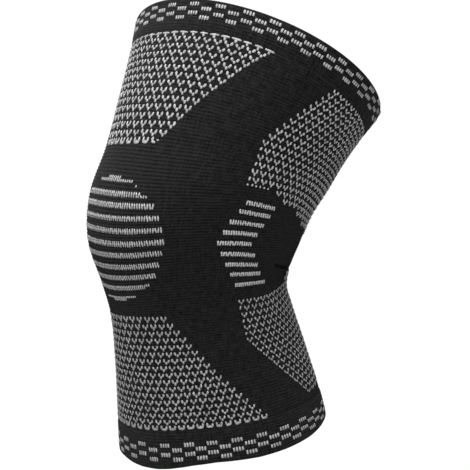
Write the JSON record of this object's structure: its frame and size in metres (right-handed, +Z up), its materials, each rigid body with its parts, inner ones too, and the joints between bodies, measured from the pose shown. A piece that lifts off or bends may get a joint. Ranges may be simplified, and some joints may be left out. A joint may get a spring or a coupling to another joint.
{
  "type": "knitted knee sleeve",
  "caption": "Knitted elastic knee sleeve in the form of a bent knee, with a folded cuff at each end and white knitted fields, held as worn.",
  "frame": {"origin": "the middle of the hollow behind the kneecap, where the knee that wears the sleeve holds it up", "axes": "+Z up the leg, -Y the front of the knee, +X its side"},
  "size_m": [0.1752, 0.1836, 0.2768],
  "materials": {
    "body_knit": "fine elastic knit, black with white jacquard fields",
    "cuff_knit": "thicker elastic knit, black with rows of white dashes"
  },
  "bodies": {
    "root": {"knit_body": "body_knit", "upper_cuff": "cuff_knit", "lower_cuff": "cuff_knit"}
  },
  "joints": []
}
